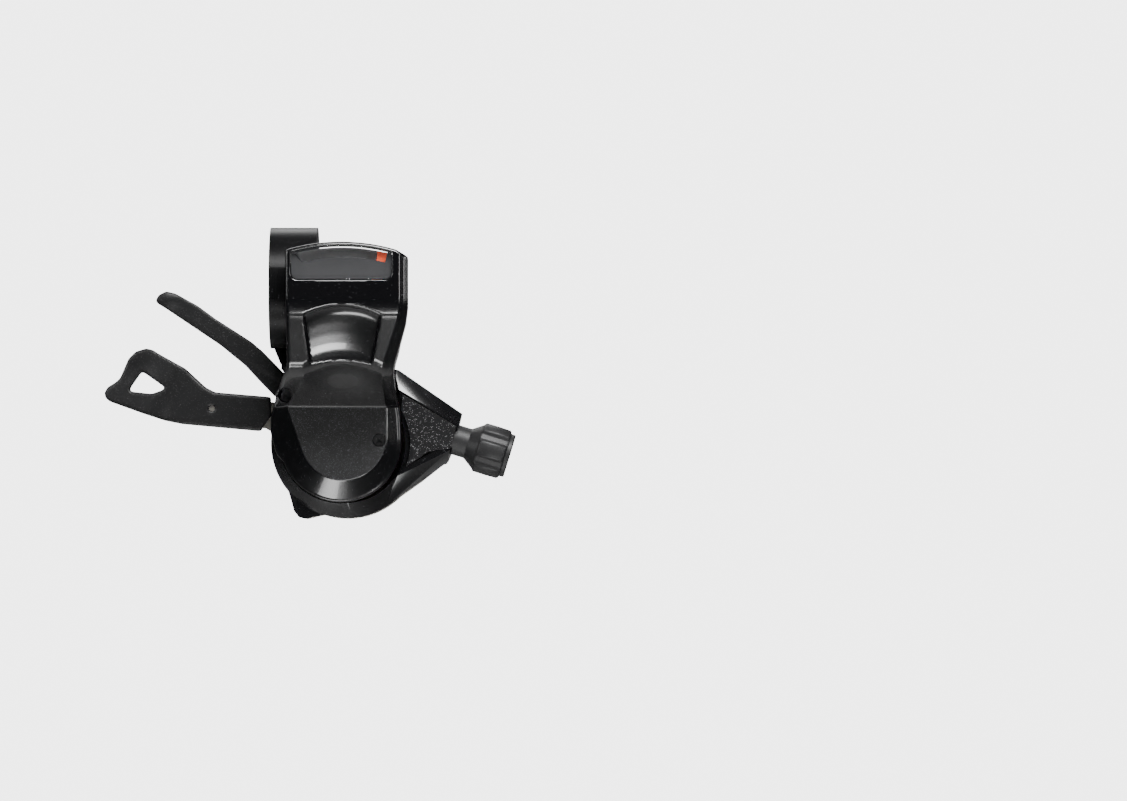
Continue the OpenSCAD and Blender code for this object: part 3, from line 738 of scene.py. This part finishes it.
def cover_finish():
    """Gloss black with flake, and matte dark grey inside the round face."""
    name = "Cover finish"
    if name in bpy.data.materials:
        return bpy.data.materials[name]
    c = colours()
    material, tree, shader = shader_parts(name)
    finishes = []
    for colour, rough, scale, share, grain, handling in (
            (c.gloss, 0.2, 5200.0, 0.02, 2600.0, 0.06), (c.face, 0.46, 5600.0, 0.3, 5200.0, 0.08)):
        surface = tree.nodes.new("ShaderNodeGroup")
        surface.node_tree = moulded_group()
        surface.inputs["Colour"].default_value = (*colour, 1)
        surface.inputs["Fleck Colour"].default_value = (*c.fleck, 1)
        for label, value in (("Fleck Scale", scale), ("Fleck Share", share), ("Grain Scale", grain),
                             ("Grain Shade", 0.5), ("Roughness", rough), ("Handling", handling)):
            surface.inputs[label].default_value = value
        finishes.append(surface)
    edge = tree.nodes.new("ShaderNodeAttribute")
    edge.attribute_name = "face_edge"
    mask = tree.nodes.new("ShaderNodeMapRange")
    mask.inputs["From Min"].default_value = 0.06
    mask.inputs["From Max"].default_value = -0.06
    wire(tree, edge.outputs["Fac"], mask.inputs["Value"])
    for label, target, kind in (("Colour", "Base Color", "RGBA"), ("Roughness", "Roughness", "FLOAT")):
        mix = tree.nodes.new("ShaderNodeMix")
        mix.data_type = kind
        a, b, out = (6, 7, 2) if kind == "RGBA" else (2, 3, 0)
        wire(tree, mask.outputs["Result"], mix.inputs[0])
        wire(tree, finishes[0].outputs[label], mix.inputs[a])
        wire(tree, finishes[1].outputs[label], mix.inputs[b])
        wire(tree, mix.outputs[out], shader.inputs[target])
    height = maths(tree, "MULTIPLY", finishes[1].outputs["Height"], mask.outputs["Result"])
    height = maths(tree, "MULTIPLY_ADD", finishes[0].outputs["Height"], 0.08, height)
    add_bump(tree, shader, height, 1.4e-5)
    coat = maths(tree, "MULTIPLY_ADD", mask.outputs["Result"], -0.3, 0.3)
    wire(tree, coat, shader.inputs["Coat Weight"])
    shader.inputs["Coat Roughness"].default_value = 0.05
    return material


# ---------------------------------------------------------------- the display

def window_finish():
    """Smoked clear plastic, with a faint fall of tone."""
    name = "Smoked window"
    if name in bpy.data.materials:
        return bpy.data.materials[name]
    material, tree, shader = shader_parts(name)
    place = tree.nodes.new("ShaderNodeTexCoord").outputs["Object"]
    haze = noise_field(tree, place, 260.0, 3.0)
    wire(tree, maths(tree, "MULTIPLY_ADD", haze, 0.05, 0.02, clamp=True), shader.inputs["Roughness"])
    wire(tree, maths(tree, "MULTIPLY_ADD", haze, 0.04, 0.08), shader.inputs["Alpha"])
    tone = tree.nodes.new("ShaderNodeMix")
    tone.data_type = "RGBA"
    tone.inputs[6].default_value = (0.05, 0.052, 0.056, 1)
    tone.inputs[7].default_value = (0.1, 0.1, 0.105, 1)
    wire(tree, haze, tone.inputs["Factor"])
    wire(tree, tone.outputs[2], shader.inputs["Base Color"])
    return material


def shaded_dial_finish(name, low, high):
    """Satin dial paint with painted shade: darker towards its upper edge under the cover's rim, lightening
    towards its lower edge.
    """
    if name in bpy.data.materials:
        return bpy.data.materials[name]
    material, tree, shader = shader_parts(name)
    place = tree.nodes.new("ShaderNodeTexCoord").outputs["Object"]
    split = tree.nodes.new("ShaderNodeSeparateXYZ")
    wire(tree, place, split.inputs[0])
    # Painted shade: the colour runs from the low colour at the window's top, shaded by the cover's rim, to
    # the high colour at its foot.
    fall = tree.nodes.new("ShaderNodeMapRange")
    fall.inputs["From Min"].default_value = 0.010
    fall.inputs["From Max"].default_value = 0.001
    wire(tree, split.outputs["Z"], fall.inputs["Value"])
    speck = noise_field(tree, place, 3600.0, 2.0)
    uneven = maths(tree, "MULTIPLY_ADD", speck, 0.3, -0.15)
    tone = maths(tree, "ADD", fall.outputs["Result"], uneven, clamp=True)
    mix = tree.nodes.new("ShaderNodeMix")
    mix.data_type = "RGBA"
    mix.inputs[6].default_value = (*low, 1)
    mix.inputs[7].default_value = (*high, 1)
    wire(tree, tone, mix.inputs["Factor"])
    wire(tree, mix.outputs[2], shader.inputs["Base Color"])
    wire(tree, maths(tree, "MULTIPLY_ADD", speck, 0.15, 0.38), shader.inputs["Roughness"])
    add_bump(tree, shader, speck, 3e-6)
    return material


TRACK_TOP = arc_points(12.3, -38.4, 48.1, 103.6, 76.2, 24)
TRACK_FOOT = arc_points(13.0, -31.6, 38.9, 74.9, 105.2, 24)
FLAG = [(21.25, 8.75), (23.85, 8.35), (23.75, 6.7), (23.1, 6.05), (21.2, 6.15)]


def print_outline():
    """Outline of the dark print on the window's back, below and beside the track."""
    edge = window_outline(-0.3)
    upper, lower = edge[:25], edge[25:]
    right = [p for p in upper if p[0] > TRACK_TOP[-1][0] + 0.1]
    left = [p for p in upper if p[0] < TRACK_TOP[0][0] - 0.1]
    return right + lower + left + list(reversed(TRACK_FOOT))


class SHIFTER_OT_display(bpy.types.Operator):
    """Build the clear window, the dial with its arched track and the orange indicator"""
    bl_idname = "shifter.display"
    bl_label = "Display"

    def execute(self, context):
        glass = finish_piece("clear_window", slab_shape(window_outline(-0.08), -24.05, -22.7), BODY,
                             [window_finish()], ["display_lens"])
        round_edges(glass, 0.25 * MM, 3, 50.0)
        ink = shaded_dial_finish("Window print", (0.012, 0.012, 0.013), (0.04, 0.04, 0.042))
        mask = finish_piece("window_print", slab_shape(print_outline(), -22.6, -22.45), BODY,
                            [ink])
        round_edges(mask, 0.05 * MM, 1)
        grey = shaded_dial_finish("Dial grey", (0.015, 0.015, 0.016), (0.05, 0.05, 0.052))
        dial = finish_piece("dial_face", cad_shape("display_face"), BODY, [grey],
                            ["display_face"])
        round_edges(dial, 0.1 * MM, 2)
        pale = shaded_dial_finish("Track grey", (0.26, 0.26, 0.265), (0.36, 0.36, 0.365))
        track = finish_piece("dial_track", slab_shape(TRACK_TOP + TRACK_FOOT, -20.6, -20.35), BODY,
                             [pale])
        round_edges(track, 0.08 * MM, 2)
        arm = finish_piece("indicator_finished", cad_shape("indicator_arm"), "indicator",
                           [indicator_orange()], ["indicator_arm"])
        round_edges(arm, 0.12 * MM, 2)
        flag = finish_piece("indicator_flag", slab_shape(FLAG, -22.35, -21.75), "indicator",
                            [indicator_orange()])
        round_edges(flag, 0.08 * MM, 2)
        return {"FINISHED"}


# ---------------------------------------------------------------- housing and clamp

class SHIFTER_OT_housing(bpy.types.Operator):
    """Build the housing, outlet panel, base plate, bottom cover and their screws"""
    bl_idname = "shifter.housing"
    bl_label = "Housing"

    def execute(self, context):
        s = sizes()
        rounded_copy("base_housing", BODY, housing_black(), s.soft_edge)
        rounded_copy("outlet_cover", BODY, textured_black(), 0.3 * MM)
        rounded_copy("base_plate", BODY, bare_steel(), s.metal_edge)
        rounded_copy("bottom_cover", BODY, inner_black(), s.soft_edge)
        rounded_copy("pod_back_cover", BODY, inner_black(), 0.2 * MM)
        rounded_copy("cable_hole_plug", BODY, inner_black(), 0.15 * MM)
        for node in ("cover_screws", "bottom_screws"):
            rounded_copy(node, BODY, dark_steel(), 0.12 * MM)
        return {"FINISHED"}


class SHIFTER_OT_clamp(bpy.types.Operator):
    """Build the handlebar clamp with its bolt, nut and bracket screws"""
    bl_idname = "shifter.clamp"
    bl_label = "Clamp"

    def execute(self, context):
        rounded_copy("clamp_band", BODY, clamp_black(), 0.45 * MM)
        rounded_copy("clamp_bolt", BODY, dark_steel(), 0.3 * MM)
        rounded_copy("clamp_nut", BODY, zinc_steel(), 0.15 * MM)
        rounded_copy("bracket_screws", BODY, zinc_steel(), 0.15 * MM)
        return {"FINISHED"}


# ---------------------------------------------------------------- levers

def moulded_copy(node, body, name, cell, rounds, shape):
    """A CAD node remade as one smooth skin, with its corners worn round; shape moves a point."""
    work = temporary(node + "_work", cad_shape(node))
    skin = work.modifiers.new("Skin", "REMESH")
    skin.mode = "VOXEL"
    skin.voxel_size = cell
    ease = work.modifiers.new("Ease", "SMOOTH")
    ease.factor = 0.5
    ease.iterations = rounds
    bm = settle(work)
    discard(work)
    for vert in bm.verts:
        vert.co = shape(vert.co / MM) * MM
    return finish_piece(name, bm, body, [lever_black()], [node], 60.0)


def near_spot(x, z, spot, reach):
    """1 at a spot, falling to 0 at its reach along and across."""
    d = math.hypot((x - spot[0]) / reach[0], (z - spot[1]) / reach[1])
    return blend_step(1.0 - d, 0.0, 1.0)


# Places on the lever caps as (x, z) in millimetres, each with its reach along and across
RELEASE_TIP = ((-32.2, -2.6), (5.5, 3.6))
RELEASE_TIP_KEPT = ((-33, -3), (4, 3))
RELEASE_FRONT = 15.0
THUMB_DISH = ((-40.5, -20.6), (6.5, 5.5))
THUMB_DISH_END = -31
THUMB_DISH_BAND = 6
FOLD_POINT = (-29.4, -20.1)
FOLD_WAY = (0.832, -0.555)


def release_form(p):
    """Raises the release lever's tip and turns back the lower side of its front face."""
    if p.y < RELEASE_FRONT:
        p.y -= 0.75 * near_spot(p.x, p.z, *RELEASE_TIP)
        line = (p.x + 31.0) * 0.64 + (p.z + 3.0)
        p.y += 0.35 * blend_step(-line - 2.4, 0.0, 1.6) * (1.0 - near_spot(p.x, p.z, *RELEASE_TIP_KEPT))
    return p


def thumb_form(p):
    """Dishes the thumb pad and softens the fold across the lever."""
    lean = (p.x + 42.5) * 0.35 + (p.z + 20.5)
    if p.x < THUMB_DISH_END and abs(lean) < THUMB_DISH_BAND:
        p.y += 0.55 * near_spot(p.x, p.z, *THUMB_DISH)
    past_fold = (p.x - FOLD_POINT[0]) * FOLD_WAY[0] + (p.z - FOLD_POINT[1]) * FOLD_WAY[1]
    p.y += 0.4 * blend_step(past_fold, -1.6, 2.4) * (1.0 - blend_step(past_fold, 2.4, 8.5))
    return p


class SHIFTER_OT_levers(bpy.types.Operator):
    """Build the two lever caps as moulded skins and finish their steel plates"""
    bl_idname = "shifter.levers"
    bl_label = "Levers"

    def execute(self, context):
        cell = sizes().lever_cell
        moulded_copy("thumb_lever_cap", "thumb_lever", "thumb_lever_grip", cell, 14, thumb_form)
        moulded_copy("release_lever_cap", "release_lever", "release_lever_grip", cell, 9, release_form)
        for node, body in (("thumb_lever_plate", "thumb_lever"), ("release_lever_plate", "release_lever")):
            rounded_copy(node, body, bare_steel(), sizes().metal_edge)
        return {"FINISHED"}


# ---------------------------------------------------------------- barrel knob

OUTLET_POINT = Vector((41.2, 9.9, -38.3))
OUTLET_TILT = math.radians(17)
LOBES = 6


def lobe_height(angle):
    """1 on a lobe's flat crown, 0 in the panels between lobes."""
    turn = (angle * LOBES / math.tau) % 1.0
    return blend_step(0.5 - abs(turn - 0.5), 0.1, 0.24)


def knob_shape():
    """The lobed barrel knob, from its neck to its socket, as one closed skin."""
    # Distance along the outlet, radius and lobe height of each ring, in millimetres
    rings = [(-4, 3.83, 0), (2.1, 3.83, 0), (2.3, 4.0, 0), (4.5, 5.55, 0), (4.75, 5.7, 0.1),
             (4.95, 5.75, 0.5), (5.3, 5.78, 0.74), (8.4, 5.78, 0.78), (11.4, 5.74, 0.74),
             (11.75, 5.7, 0.5), (11.9, 5.62, 0.08), (12.0, 5.5, 0), (12.9, 5.5, 0), (13.1, 5.3, 0),
             (13.1, 2.75, 0), (12.85, 2.5, 0), (6.5, 2.5, 0), (6.5, 2.02, 0), (-4, 2.02, 0)]
    bm = bmesh.new()
    first = bmesh.ops.create_circle(bm, cap_ends=False, segments=144, radius=1.0)
    edges = list({e for v in first["verts"] for e in v.link_edges})
    loops = [list(first["verts"])]
    for _ in rings[1:]:
        grown = bmesh.ops.extrude_edge_only(bm, edges=edges)["geom"]
        edges = [g for g in grown if isinstance(g, bmesh.types.BMEdge)]
        loops.append([g for g in grown if isinstance(g, bmesh.types.BMVert)])
    for verts, (away, radius, lobe) in zip(loops, rings):
        for vert in verts:
            angle = math.atan2(vert.co.y, vert.co.x)
            reach = radius + lobe * lobe_height(angle)
            vert.co = Vector((reach * math.cos(angle), reach * math.sin(angle), away))
    open_rim = [e for e in bm.edges if len(e.link_faces) == 1 and e not in edges]
    bmesh.ops.bridge_loops(bm, edges=edges + open_rim)
    place = (Matrix.Scale(MM, 4) @ Matrix.Translation(OUTLET_POINT)
             @ Matrix.Rotation(math.pi / 2 + OUTLET_TILT, 4, "Y"))
    bmesh.ops.transform(bm, matrix=place, verts=bm.verts)
    bmesh.ops.recalc_face_normals(bm, faces=bm.faces)
    return bm


class SHIFTER_OT_knob(bpy.types.Operator):
    """Build the lobed barrel knob and the screw inside it"""
    bl_idname = "shifter.knob"
    bl_label = "Barrel knob"

    def execute(self, context):
        knob = finish_piece("lobed_knob", knob_shape(), "adjuster_knob", [knob_black()],
                            ["barrel_knob"], 50.0)
        round_edges(knob, 0.15 * MM, 2, 40.0)
        rounded_copy("barrel_screw", "adjuster_knob", zinc_steel(), 0.15 * MM)
        return {"FINISHED"}


# ---------------------------------------------------------------- inner parts

INNER_FINISHES = {
    bare_steel: ("main_axle", "cover_bridge", "ratchet_plate", "stop_pawl", "stop_pawl_pin", "feed_pawl",
                 "feed_pawl_pin"),
    zinc_steel: ("axle_nut",),
    brass: ("lever_spacers", "detent_ring"),
    nylon: ("cable_winder",),
    spring_steel: ("winder_spring", "stop_pawl_spring", "feed_pawl_spring", "thumb_lever_spring",
                   "release_lever_spring", "barrel_spring"),
}


class SHIFTER_OT_inner_parts(bpy.types.Operator):
    """Finish the axle, winder, ratchet, pawls, springs and bushes inside the housing"""
    bl_idname = "shifter.inner_parts"
    bl_label = "Inner parts"

    def execute(self, context):
        for finish, nodes in INNER_FINISHES.items():
            for node in nodes:
                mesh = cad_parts[node].data
                mesh.materials.clear()
                mesh.materials.append(finish())
        return {"FINISHED"}


# ---------------------------------------------------------------- studio

VIEW_WIDTH = 0.28175
VIEW_MIDDLE = Vector((0.06725, 0.0, -0.0281))
LENS = 220.0
SENSOR = 36.0
PAPER_GLOW = 4.0  # seen by the camera only, so the paper doesn't light the shifter
AIR_GLOW = 0.015


def softbox(name, place, aim, width, height, power, spread):
    """A rectangular area light that faces a point, narrowed to a spread in degrees."""
    lamp = bpy.data.lights.new(name, "AREA")
    lamp.shape = "RECTANGLE"
    lamp.size = width
    lamp.size_y = height
    lamp.energy = power
    lamp.spread = math.radians(spread)
    holder = bpy.data.objects.new(name, lamp)
    holder.location = place
    holder.rotation_euler = (Vector(aim) - Vector(place)).to_track_quat("-Z", "Y").to_euler()
    holder.visible_camera = False
    bpy.context.collection.objects.link(holder)


def sweep_shape():
    """A floor that curves up into a back wall."""
    floor_z, wall_y, turn, reach = -0.45, 1.3, 0.5, 3.0
    profile = [(-3.0, floor_z)] + [
        (wall_y - turn + turn * math.sin(math.radians(a)), floor_z + turn - turn * math.cos(math.radians(a)))
        for a in range(0, 91, 6)] + [(wall_y, 2.6)]
    bm = bmesh.new()
    row = [bm.verts.new((-reach, y, z)) for y, z in profile]
    edges = [bm.edges.new(pair) for pair in zip(row, row[1:])]
    grown = bmesh.ops.extrude_edge_only(bm, edges=edges)["geom"]
    far = [g for g in grown if isinstance(g, bmesh.types.BMVert)]
    bmesh.ops.translate(bm, vec=(2 * reach, 0, 0), verts=far)
    bmesh.ops.recalc_face_normals(bm, faces=bm.faces)
    return bm


def paper_finish():
    """Pale seamless paper with a faint tooth."""
    material, tree, shader = shader_parts("Pale paper")
    place = tree.nodes.new("ShaderNodeTexCoord").outputs["Object"]
    tooth = noise_field(tree, place, 60.0, 3.0)
    mix = tree.nodes.new("ShaderNodeMix")
    mix.data_type = "RGBA"
    mix.inputs[6].default_value = (*[c * 0.99 for c in colours().floor], 1)
    mix.inputs[7].default_value = (*colours().floor, 1)
    wire(tree, tooth, mix.inputs["Factor"])
    wire(tree, mix.outputs[2], shader.inputs["Base Color"])
    shader.inputs["Roughness"].default_value = 0.9
    shader.inputs["Specular IOR Level"].default_value = 0.1
    shader.inputs["Emission Color"].default_value = (1, 1, 1, 1)
    seen = tree.nodes.new("ShaderNodeLightPath").outputs["Is Camera Ray"]
    wire(tree, maths(tree, "MULTIPLY", seen, PAPER_GLOW), shader.inputs["Emission Strength"])
    return material


class SHIFTER_OT_stage(bpy.types.Operator):
    """Set up the pale floor, the soft lights and the camera"""
    bl_idname = "shifter.stage"
    bl_label = "Studio"

    def execute(self, context):
        floor = temporary("studio_floor", sweep_shape())
        floor.data.materials.append(paper_finish())
        for poly in floor.data.polygons:
            poly.use_smooth = True
        eye = Vector((VIEW_MIDDLE.x, -VIEW_WIDTH * LENS / SENSOR, VIEW_MIDDLE.z))
        lens = bpy.data.cameras.new("view")
        lens.type = "PERSP"
        lens.lens = LENS
        lens.sensor_width = SENSOR
        lens.clip_start = 0.01
        lens.clip_end = 20
        camera = bpy.data.objects.new("view", lens)
        camera.location = eye
        camera.rotation_euler = (math.pi / 2, 0, 0)
        context.collection.objects.link(camera)
        context.scene.camera = camera
        for name, place, aim, width, height, power, spread in (
                ("top_box", (0.1, -0.3, 0.38), (0.01, -0.01, 0.0), 0.3, 0.14, 0.85, 60),
                ("right_box", (0.42, -0.26, 0.08), (0.015, 0.0, -0.03), 0.1, 0.3, 0.15, 60),
                ("left_box", (-0.4, -0.2, 0.14), (-0.02, 0.0, -0.02), 0.08, 0.3, 0.2, 60),
                ("front_low_box", (0.07, -0.3, -0.27), (0.014, -0.02, -0.015), 0.16, 0.05, 0.13, 70),
                ("low_box", (-0.05, -0.12, -0.36), (0.008, -0.01, -0.03), 0.18, 0.06, 0.1, 80),
                ("back_box", (-0.05, 0.4, 0.34), (0.0, 0.01, -0.02), 0.4, 0.2, 0.2, 70),
                ("wall_wash", (0.0, 0.35, 1.3), (0.0, 1.3, -0.15), 1.8, 0.5, 4.0, 100)):
            softbox(name, place, aim, width, height, power, spread)
        world = bpy.data.worlds.new("studio_air")
        world.use_nodes = True
        world.node_tree.nodes["Background"].inputs["Color"].default_value = (1, 1, 1, 1)
        world.node_tree.nodes["Background"].inputs["Strength"].default_value = AIR_GLOW
        context.scene.world = world
        return {"FINISHED"}


class SHIFTER_PT_panel(bpy.types.Panel):
    """Lists the pieces of the shifter in the sidebar"""
    bl_idname = "SHIFTER_PT_panel"
    bl_label = "Thumb shifter"
    bl_space_type = "VIEW_3D"
    bl_region_type = "UI"
    bl_category = "Shifter"

    def draw(self, context):
        for step in STEPS:
            self.layout.operator(step.bl_idname)
        for group in (context.scene.shifter_sizes, context.scene.shifter_colours):
            for label in group.__annotations__:
                self.layout.prop(group, label)


STEPS = (SHIFTER_OT_cover, SHIFTER_OT_display, SHIFTER_OT_housing, SHIFTER_OT_clamp, SHIFTER_OT_levers,
         SHIFTER_OT_knob, SHIFTER_OT_inner_parts, SHIFTER_OT_stage)
CLASSES = (ShifterSizes, ShifterColours) + STEPS + (SHIFTER_PT_panel,)


def register():
    for cls in CLASSES:
        bpy.utils.register_class(cls)
    bpy.types.Scene.shifter_sizes = bpy.props.PointerProperty(type=ShifterSizes)
    bpy.types.Scene.shifter_colours = bpy.props.PointerProperty(type=ShifterColours)


def unregister():
    del bpy.types.Scene.shifter_colours
    del bpy.types.Scene.shifter_sizes
    for cls in reversed(CLASSES):
        bpy.utils.unregister_class(cls)


def main():
    register()
    for step in STEPS:
        group, call = step.bl_idname.split(".")
        getattr(getattr(bpy.ops, group), call)()


if __name__ == "__main__":
    main()
